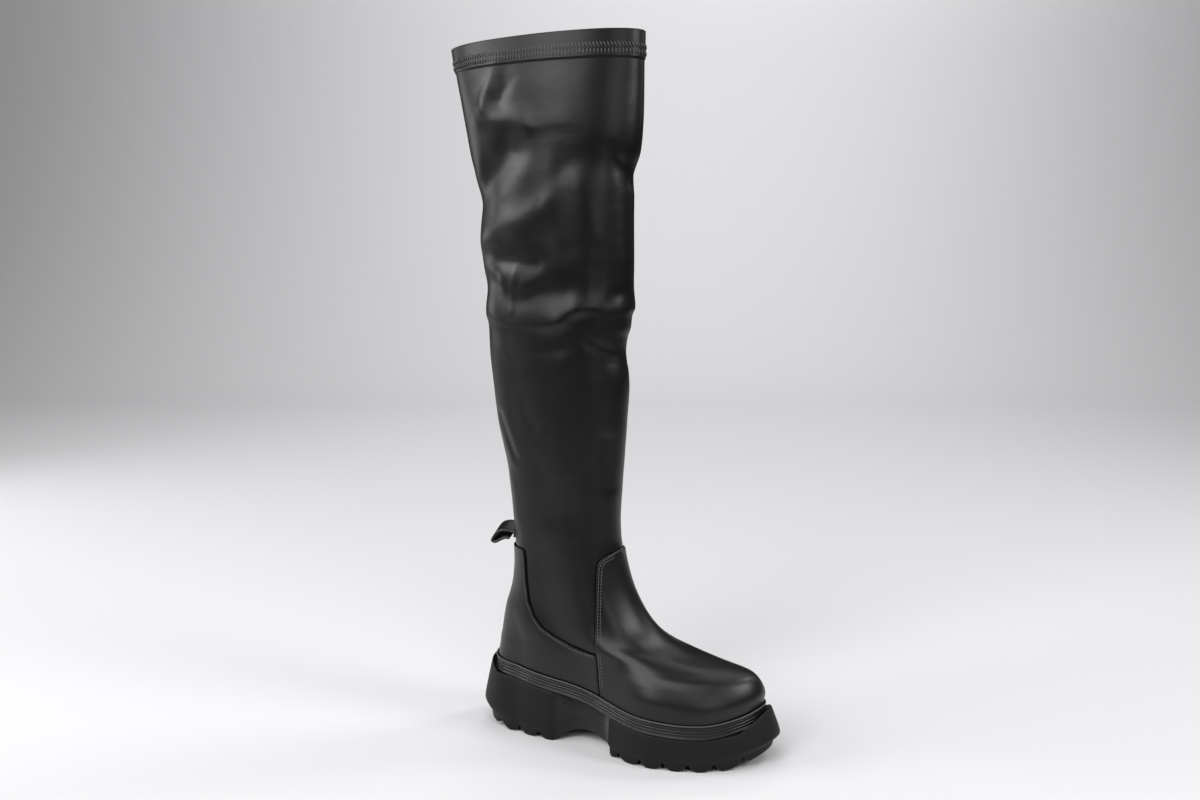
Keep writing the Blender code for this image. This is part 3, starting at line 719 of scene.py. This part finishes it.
def spaced(path, normal, pitch):
    """Points and normals at even distances along a path."""
    length = np.concatenate(((0,), np.cumsum(np.linalg.norm(np.diff(path, axis=0), axis=1))))
    count = max(2, int(length[-1] / pitch))
    at = np.linspace(0, length[-1], count)
    pts = np.stack([np.interp(at, length, path[:, i]) for i in range(3)], -1)
    nor = np.stack([np.interp(at, length, normal[:, i]) for i in range(3)], -1)
    return pts, nor


def row_of_stitches(paths, pitch, gap, inside):
    """Starts, ends and normals of a running stitch along several paths."""
    starts, ends, normals = [], [], []
    for path, normal in paths:
        keep = inside(path)
        pts, nor = spaced(path[keep], normal[keep], pitch)
        step = pts[1:] - pts[:-1]
        starts.append(pts[:-1] + step * (gap / 2))
        ends.append(pts[1:] - step * (gap / 2))
        normals.append(nor[:-1])
    return np.concatenate(starts), np.concatenate(ends), np.concatenate(normals)


def panel_rows(top_row):
    """Rows of a panel, closer together at the featherline."""
    return np.concatenate((np.linspace(0, 0.6, 6), np.linspace(0.6, top_row, 150)[1:]))


def panels():
    """Vamp and counter, the stitches along their edges and a painted shadow line of dark dashes
    beside them.
    """
    vamp_rows = panel_rows(VAMP_TOP_ROW)
    vamp, vamp_turns = panel("vamp_leather", VAMP_EDGE, vamp_rows, True, 131, VAMP_SEAMS)
    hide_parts("vamp")
    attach(vamp, "root")
    counter_rows = panel_rows(COUNTER_TOP_ROW)
    counter, counter_turns = panel("counter_leather", COUNTER_EDGE, counter_rows, False, 111,
                                   (COUNTER_GROOVE,))
    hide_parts("counter")
    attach(counter, "root")
    vamp_edge, counter_edge = (vamp_rows, vamp_turns), (counter_rows, counter_turns)
    height = PANEL_GAP + LEATHER - STITCH_SUNK

    def on_vamp(p):
        return (p[:, 2] > VAMP_SEAM_LOW) & (p[:, 0] < VAMP_SEAM_FRONT)

    def on_counter(p):
        return (p[:, 2] > COUNTER_SEAM_LOW) & (p[:, 0] > COUNTER_SEAM_BACK)

    lines = [row_of_stitches(beside_edge(*vamp_edge, inset, height),
                             STITCH_PITCH, STITCH_GAP, on_vamp) for inset in VAMP_SEAMS]
    lines.append(row_of_stitches(beside_edge(*counter_edge, -COUNTER_SEAM, height),
                                 STITCH_PITCH, STITCH_GAP, on_counter))
    starts, ends, normals = (np.concatenate(part) for part in zip(*lines))
    seams = stitch_mesh("panel_topstitching", starts, ends, normals, STITCH_THICK, thread)
    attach(seams, "root")
    # Painted shadow: dark dashes along the outside of each panel's edge.
    lines = [row_of_stitches(beside_edge(*vamp_edge, -SHADOW_LINE_OUT, PANEL_GAP),
                             SHADOW_LINE_PITCH, SHADOW_LINE_GAP, on_vamp),
             row_of_stitches(beside_edge(*counter_edge, SHADOW_LINE_OUT, PANEL_GAP),
                             SHADOW_LINE_PITCH, SHADOW_LINE_GAP, on_counter)]
    starts, ends, normals = (np.concatenate(part) for part in zip(*lines))
    shadow_line = stitch_mesh("panel_edge_painted_shadow", starts, ends, normals, SHADOW_LINE_THICK, edge_shadow_paint)
    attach(shadow_line, "root")


def hem_stitching():
    """Cover stitch of the hem: two rows of short bars right round the shaft."""
    fine = np.linspace(0, TAU, 2400)
    starts, ends, normals = [], [], []
    for from_top, to_top, lean in HEM_STITCH_ROWS:
        rows = [TOP_ROW - down * MM / TOP_ROW_HEIGHT for down in (from_top, to_top)]
        lines = [upper_surface(r, fine, HEM_STEP + HEM_THREAD_OUT) for r in rows]
        nor = upper_normal(rows[0], fine)
        a, n = spaced(lines[0], nor, HEM_PITCH)
        b, _ = spaced(lines[1], nor, HEM_PITCH)
        count = min(len(a), len(b)) - 1
        starts.append(a[:count])
        ends.append(b[:count] + (a[1:count + 1] - a[:count]) * lean)
        normals.append(n[:count])
    piece = stitch_mesh("hem_cover_stitch", np.concatenate(starts), np.concatenate(ends),
                        np.concatenate(normals), HEM_THREAD, hem_thread)
    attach(piece, "root")


# Bottom


# Section of the rand. Columns: reach from the featherline, height over it, share of painted
# highlight.
RAND_SECTION = np.array((
    (0, -0.9, 0), (0.6, -1.8, 0), (2.1, -1.8, 0), (2.3, -0.8, 0), (2.8, -0.15, 0),
    (3.4, -0.05, 0.9), (3.9, -0.5, 1), (4.05, -1.1, 0), (3.8, -1.8, 0), (2.9, -2.3, 0),
    (2.6, -2.6, 0), (3.2, -2.9, 0), (3.3, -3.4, 0), (3.1, -4.6, 0), (2.6, -5.0, 0),
    (2.7, -5.3, 0), (3.3, -5.6, 0), (3.3, -6.1, 0), (3.1, -7.2, 0), (2.7, -7.6, 0),
    (2.8, -7.9, 0), (3.4, -8.2, 0), (3.4, -8.7, 0), (3.2, -9.6, 0), (3.1, -10.0, 0),
    (3.7, -10.4, 0), (4.3, -10.8, 0), (4.4, -11.3, 0.4), (4.3, -11.9, 0), (3.9, -12.4, 0),
    (3.4, -12.5, 0), (0, -12.5, 0),
)) * (MM, MM, 1)


def rand_band():
    """Ribbed rand at a fine grid: bead, three ribs and lower ridge with rounded lips."""
    around = 420
    turns = np.arange(around) * (TAU / around)
    grid = []
    for out, drop, _ in RAND_SECTION[::-1]:
        x, y, base = outline(turns, out)
        grid.append(np.stack((x, y, feather_height(base) + drop), -1))
    piece = grid_piece("ribbed_rand_band", np.array(grid), rand_rubber, caps=True)
    # The mask places the painted highlight on the bead and the lower ridge.
    paint_mask(piece, "edge", np.repeat(RAND_SECTION[::-1, 2], around))
    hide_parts("ribbed_rand")
    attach(piece, "root")


# Half a notch at its mouth. Columns: distance from its middle, rise of the lug's foot.
NOTCH = np.array((
    (0, 6.6), (0.6, 6.3), (1.1, 5.2), (1.7, 4.3), (2.5, 3.4), (3.4, 2.5), (4.4, 1.7), (5.5, 1.0),
    (6.6, 0.5), (7.7, 0.15), (9, 0),
)) * MM


# Stations about the middle of a notch and before the step where the tread starts
NEAR_NOTCH = np.array((-3.4, -2.5, -1.7, -1.1, -0.6, 0, 0.6, 1.1, 1.7, 2.5, 3.4)) * MM
NEAR_STEP = np.array((-1.6, -1.0, -0.5, -0.2, 0)) * MM
LEAST_SPACING = 0.08 * MM

# Sole
TIP_SPREAD = 0.95           # turn either side of the toe or heel over which the wall changes
FENDER_POWER = 0.8
SLOT_FLOOR = 1 * MM         # least reach of the top before the wall rises
WAIST_LEAD = 4 * MM         # the waist starts this much before the heel's breast
WAIST_RUN = 24 * MM         # and is fully recessed after this
WAIST_END = 0.8 * MM        # and ends this much before the tread
WAIST_WALL = 6 * MM         # least height of its widest line over its underside
WAIST_RAISE = 0.4           # share of the way up to the rand that this line rises there
COVE_RUN, COVE_POWER = 22 * MM, 2.4
# Where the cove's painted light starts and how far it grows.
COVE_BRIGHT_START, COVE_BRIGHT_RUN = 20 * MM, 15 * MM
MASK_INSET = 4 * MM         # inset from which the waist has its full colour
LUG_SHORT = 7 * MM          # reach of the underside's rim where there are no lugs
KEEL_DROP = 1.5 * MM
SHOULDER = 1.2 * MM         # height over the lugs' roots where the wall turns down
FOOT_ROUND = 0.6 * MM
LIP_ROUND = 0.7 * MM
BAR_SUNK = 1.5 * MM         # how far the bars of the tread reach into the sole


def side_stations(side, count):
    """Turns along one side of the sole, crowded at notches and the waist's step, and the rises."""
    fine = np.linspace(0, math.pi, 1500)
    x, y, _ = outline(fine if side < 0 else TAU - fine, EDGE_SIDE[1])
    length = np.concatenate(((0,), np.cumsum(np.hypot(np.diff(x), np.diff(y)))))
    start = np.interp(TREAD_START, x, length)
    notches = np.concatenate((HEEL_NOTCHES, start + TREAD_NOTCHES))
    near = (notches[:, None] + NEAR_NOTCH).ravel()
    places = np.concatenate((np.linspace(0, length[-1], count), near, start + NEAR_STEP))
    places = np.sort(places)
    places = places[np.concatenate(((True,), np.diff(places) > LEAST_SPACING))]
    places[-1] = length[-1]
    gap = np.abs(places[:, None] - notches[None, :]).min(axis=1)
    return np.interp(places, length, fine), np.interp(gap, NOTCH[:, 0], NOTCH[:, 1])


def even_out(turn, lift, count):
    """Drops the stations that are closest to their neighbours, never in a notch, down to count."""
    never = 9
    while len(turn) > count:
        spare = 2 + np.argmin((turn[3:] - turn[1:-2]) + never * (lift[2:-1] > 0))
        turn = np.delete(turn, spare)
        lift = np.delete(lift, spare)
    return turn, lift


def sole_block():
    """Lug sole at a fine grid: flared wall, fenders, recessed coved waist, notched lugs."""
    outer_turn, outer_lift = side_stations(-1, 260)
    inner_turn, inner_lift = side_stations(1, 260)
    count = min(len(outer_turn), len(inner_turn))
    outer_turn, outer_lift = even_out(outer_turn, outer_lift, count)
    inner_turn, inner_lift = even_out(inner_turn, inner_lift, count)
    turns = np.concatenate((outer_turn, TAU - inner_turn[-2:0:-1]))
    lifts = np.concatenate((outer_lift, inner_lift[-2:0:-1]))
    toe = ramp(1 - np.abs(turns - math.pi) / TIP_SPREAD)
    heel = ramp(1 - np.minimum(turns, TAU - turns) / TIP_SPREAD)
    edge = (EDGE_SIDE[:, None] + (EDGE_TOE - EDGE_SIDE)[:, None] * toe
            + (EDGE_HEEL - EDGE_SIDE)[:, None] * heel)
    base = outline(turns, 0)[2]
    fade_in = ramp((base - HEEL_BREAST + WAIST_LEAD) / WAIST_RUN)
    waist = fade_in * (base < TREAD_START - WAIST_END)
    cove = 1 - np.clip(1 - (TREAD_START - base) / COVE_RUN, 0, 1) ** COVE_POWER
    inset = WAIST_INSET * waist * cove
    top = feather_height(base) - RAND_HEIGHT - CLEARANCE
    tip = np.maximum(toe, heel)
    slot = SLOT_FLOOR + (WELT_REACH + FENDER_GAP - SLOT_FLOOR) * np.clip(tip * 2, 0, 1)
    fender = np.where(toe > heel, TOE_FENDER, HEEL_FENDER)
    fender = fender * np.clip(tip * 2 - 1, 0, 1) ** FENDER_POWER
    under = np.interp(outline(turns, edge[2] - inset)[0], *UNDERSIDE.T)
    foot = under + lifts
    wide = np.maximum(edge[3], under + WAIST_WALL) + (top - edge[3]) * WAIST_RAISE * waist
    lugged = 1 - fade_in * (base < TREAD_START)
    lug_in = LUG_SHORT + (LUG_REACH - LUG_SHORT) * lugged
    keel = np.where(lugged > 0.5, LUG_HEIGHT, -KEEL_DROP)
    lip = np.maximum(slot + FENDER_WALL, edge[0])
    crown = top + fender
    rings = []

    def ring(out, z, hung=False):
        """Adds a ring out from the featherline at height z, or z over the sole's top if hung."""
        x, y, level = outline(turns, out)
        if hung:
            z = feather_height(level) - RAND_HEIGHT - CLEARANCE + z
        rings.append(np.stack((x, y, z), axis=-1))

    ring(-inset, 0, True)
    ring(slot - inset, 0, True)
    ring(slot + 0.4 * MM - inset, fender - 0.5 * MM * (fender > 0), True)
    ring(slot + 0.8 * MM - inset, fender, True)
    ring(lip - 0.5 * MM - inset, fender - 0.1 * MM, True)
    ring(lip - inset, fender - LIP_ROUND, True)
    for t in np.linspace(0, 1, 9)[1:]:
        out = lip + (edge[1] - lip) * (1 - (1 - t) ** 1.15)
        ring(out - inset, (crown - LIP_ROUND) * (1 - t) + wide * t)
    shoulder = under + LUG_HEIGHT + SHOULDER
    for t in np.linspace(0, 1, 6)[1:]:
        out = edge[1] + (edge[2] + FOOT_ROUND - edge[1]) * t ** 1.3
        ring(out - inset, wide + (shoulder - wide) * t)
    for t in (0.3, 0.6, 0.85):
        ring(edge[2] + FOOT_ROUND * (1 - t) - inset, shoulder + (foot - shoulder) * t)
    ring(edge[2] - 0.2 * MM - inset, foot + 0.25 * MM)
    ring(edge[2] - 0.8 * MM - inset, foot)
    ring(edge[2] - inset - lug_in * 0.5, foot)
    ring(edge[2] - inset - lug_in, foot)
    ring(edge[2] - inset - lug_in - 1.5 * MM, under + keel)
    piece = grid_piece("lug_sole", np.array(rings), sole_rubber, caps=True, flip=True)
    paint_mask(piece, "waist", np.tile(np.clip(inset / MASK_INSET, 0, 1), len(rings)))
    # Painted light on the cove's face, paler towards the tread.
    painted_cove_light = waist * ramp((base - TREAD_START + COVE_BRIGHT_START) / COVE_BRIGHT_RUN)
    paint_mask(piece, "cove", np.tile(painted_cove_light, len(rings)))
    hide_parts("outsole")
    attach(piece, "root")


def tread_bars():
    """Bent bars in the middle of the tread, as prisms over a six-cornered outline."""
    shape = np.array(((0, -1), (0.5, 0), (0, 1), (1, 1), (1.5, 0), (1, -1)))
    corners = len(shape)
    points, faces = [], []
    for x, y, half in CHEVRONS:
        ring = np.stack((x + shape[:, 0] * CHEVRON_DEPTH, y + shape[:, 1] * half), -1)
        start = len(points)
        points += [(a, b, z) for z in (0.0, LUG_HEIGHT + BAR_SUNK) for a, b in ring]
        faces.append([start + i for i in range(corners)])
        faces.append([start + 2 * corners - 1 - i for i in range(corners)])
        for i in range(corners):
            k = (i + 1) % corners
            faces.append([start + i, start + corners + i, start + corners + k, start + k])
    mesh = bpy.data.meshes.new("tread_bars")
    mesh.from_pydata(points, [], faces)
    mesh.materials.append(sole_rubber)
    piece = bpy.data.objects.new("tread_bars", mesh)
    bpy.context.scene.collection.objects.link(piece)
    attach(piece, "root")


# Line of the pull strap seen from the side. Columns: place along X, height.
LOOP_LINE = np.array((
    (-19.9, 179.6), (-20, 184.4), (-25, 186.4), (-32, 186.4), (-38, 183.4), (-41.8, 177.6),
    (-43.8, 172.6), (-42.4, 170.2), (-38.6, 171.2), (-34.6, 174.4), (-30, 177), (-25.4, 177.4),
)) * MM
STRAP_HALF = 6.8 * MM       # half its width
STRAP_DEEP = 1.4 * MM       # half its thickness
STRAP_EDGE = 0.3 * MM
STRAP_MIDDLE, STRAP_PRESS, STRAP_LEAN = 178.2 * MM, 0.74, 0.52


def pull_loop():
    """Strap along a smooth line seen from the side, its edges rounded, pressed and leaning."""
    knots = np.arange(len(LOOP_LINE))
    t = np.linspace(0, knots[-1], 150)
    line = np.stack([spline(knots, LOOP_LINE[:, i], t) for i in (0, 1)], -1)
    along = np.gradient(line, axis=0)
    along /= np.linalg.norm(along, axis=1, keepdims=True)
    across = np.stack((-along[:, 1], along[:, 0]), -1)
    face = [(STRAP_HALF * f * 0.95, STRAP_DEEP * (1 - 0.1 * f * f)) for f in np.linspace(-1, 1, 9)]
    face = np.array(face + [(STRAP_HALF, STRAP_EDGE), (STRAP_HALF, -STRAP_EDGE)])
    profile = np.concatenate((face, -face))
    x = line[:, None, 0] + across[:, None, 0] * profile[None, :, 1]
    z = line[:, None, 1] + across[:, None, 1] * profile[None, :, 1]
    y = np.broadcast_to(profile[None, :, 0], x.shape)
    z = STRAP_MIDDLE + (z - STRAP_MIDDLE) * STRAP_PRESS + STRAP_LEAN * y
    piece = grid_piece("pull_strap", np.stack((x, y, z), -1), smooth_leather)
    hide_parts("pull_loop")
    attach(piece, "root")


def spline(knots, values, at):
    """Smooth cubic through the values with slopes from their neighbours."""
    slope = np.gradient(values, knots)
    i = np.clip(np.searchsorted(knots, at, side="right") - 1, 0, len(knots) - 2)
    h = knots[i + 1] - knots[i]
    t = (at - knots[i]) / h
    return (values[i] * (1 + 2 * t) * (1 - t) ** 2 + slope[i] * h * t * (1 - t) ** 2
            + values[i + 1] * t * t * (3 - 2 * t) + slope[i + 1] * h * t * t * (t - 1))


upper_cover()
panels()
hem_stitching()
rand_band()
sole_block()
tread_bars()
pull_loop()
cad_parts["insole"].material_slots[0].material = lining


# Studio


VIEW_TURN = math.radians(24.39)


def studio_place(right, deep, up):
    """Point so far right of the boot, behind it and above the floor, as the camera sees it."""
    c, s = math.cos(VIEW_TURN), math.sin(VIEW_TURN)
    return right * c - deep * s, right * s + deep * c, up


def backdrop():
    """Pale paper that widens backwards and sweeps up into a low wall far behind the boot."""
    near, far, radius, flat = -0.8, 2.4, 1.3, 20
    bend = np.linspace(0, math.pi / 2, 24)[1:]
    deep = np.concatenate((np.linspace(near, far, flat), far + radius * np.sin(bend),
                           np.full(2, far + radius)))
    up = np.concatenate((np.zeros(flat), radius - radius * np.cos(bend), (1.4, 1.48)))
    half = 0.75 + 0.62 * np.maximum(deep + 0.16, 0)
    right = np.linspace(-1, 1, 20)[None, :] * half[:, None]
    grid = np.stack(studio_place(right, deep[:, None], up[:, None] + 0 * right), -1)
    material = surface("pale_paper", "#DADADC", 0.9)[0]
    grid_piece("floor_paper", grid[:flat], material, around=False, flip=True)
    wall = grid_piece("wall_paper", grid[flat - 1:], material, around=False, flip=True)
    wall.visible_glossy = False


def softbox(name, place, aim, size, power):
    """Rectangular area light at a studio place, turned to shine at another."""
    lamp = bpy.data.lights.new(name, "AREA")
    lamp.shape = "RECTANGLE"
    lamp.size, lamp.size_y = size
    lamp.energy = power
    thing = bpy.data.objects.new(name, lamp)
    place, aim = np.array(studio_place(*place)), np.array(studio_place(*aim))
    away = place - aim
    thing.location = place
    thing.rotation_euler = (math.atan2(math.hypot(away[0], away[1]), away[2]), 0,
                            math.atan2(away[0], -away[1]))
    bpy.context.scene.collection.objects.link(thing)


backdrop()
# Name, place, aim, width and height, power in watts
softbox("front_overhead", (-0.35, -1.05, 1.9), (0.1, 0, 0), (1.5, 0.8), 18)
softbox("right_key", (1.5, -0.68, 1.18), (0.15, 0, 0.1), (0.5, 0.5), 12)
softbox("instep_light", (1.25, 0.4, 1.6), (0.1, 0, 0.1), (0.4, 0.4), 7)
softbox("front_left", (-1.05, -1.4, 1.3), (0, 0, 0.5), (0.9, 0.9), 14)
softbox("left_panel", (-1.7, -0.15, 1.22), (0, 0, 0.5), (1.1, 0.8), 20)
softbox("left_low", (-1.5, -0.35, 0.18), (0, 0, 0.03), (0.5, 0.22), 1.0)
softbox("left_back", (-1.5, 0.9, 0.5), (0, 0, 0.2), (0.4, 0.6), 3.0)
softbox("right_back", (1.7, 0.9, 1.2), (0, 0, 0.35), (0.4, 0.8), 2.0)
softbox("front_right", (0.75, -1.6, 0.95), (0, 0, 0.45), (0.5, 0.9), 4)
softbox("wall_wash", (0.6, 2.0, 2.6), (0.3, 3.7, 0.6), (2.6, 0.6), 47)
softbox("floor_wash", (-0.1, 1.5, 3.1), (0, 1.0, 0), (2.0, 1.6), 16)

# Sky: pale to the camera, dim to everything else
world = bpy.data.worlds.new("studio")
world.use_nodes = True
sky = world.node_tree.nodes["Background"]
sky.inputs["Color"].default_value = linear("#DDDEE0")
ray = node(world.node_tree, "ShaderNodeLightPath")
glow = node(world.node_tree, "ShaderNodeMapRange", [("Value", ray, "Is Camera Ray")])
glow.inputs["To Min"].default_value = 0.04
glow.inputs["To Max"].default_value = 0.75
world.node_tree.links.new(glow.outputs["Result"], sky.inputs["Strength"])
bpy.context.scene.world = world
bpy.context.scene.view_settings.view_transform = "Standard"

eye = bpy.data.cameras.new("camera")
eye.lens = 35
eye.sensor_width = 36
eye_object = bpy.data.objects.new("camera", eye)
eye_object.location = (0.4906, -0.9397, 0.4364)
eye_object.rotation_euler = (math.radians(82.9), 0, VIEW_TURN)
bpy.context.scene.collection.objects.link(eye_object)
bpy.context.scene.camera = eye_object
